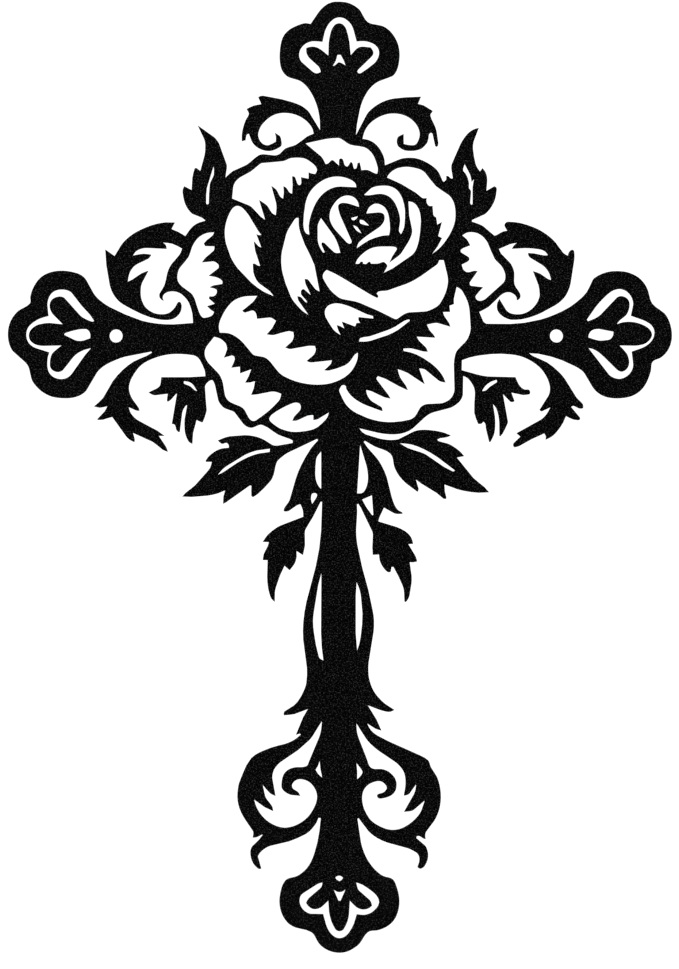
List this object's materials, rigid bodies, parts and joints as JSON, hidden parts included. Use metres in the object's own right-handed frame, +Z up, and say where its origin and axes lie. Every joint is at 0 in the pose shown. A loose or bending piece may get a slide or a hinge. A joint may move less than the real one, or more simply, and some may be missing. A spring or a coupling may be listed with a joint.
{
  "type": "wall cross",
  "caption": "Flat cut-out wall cross in black coated sheet steel, with an openwork rose at the crossing, leaves and scrolls along the arms and stem, and screw holes in the side arms.",
  "frame": {"origin": "on the flat back, where the stem's axis crosses the middle line of the side arms", "axes": "+Z up the stem, +X to the right as seen from the front, -Y out of the front, +Y into the wall"},
  "size_m": [0.319, 0.002, 0.4569],
  "materials": {
    "powder_coat": "fine-textured black powder coat, low sheen"
  },
  "bodies": {
    "root": {"rose_cross_plate": "powder_coat"}
  },
  "joints": []
}
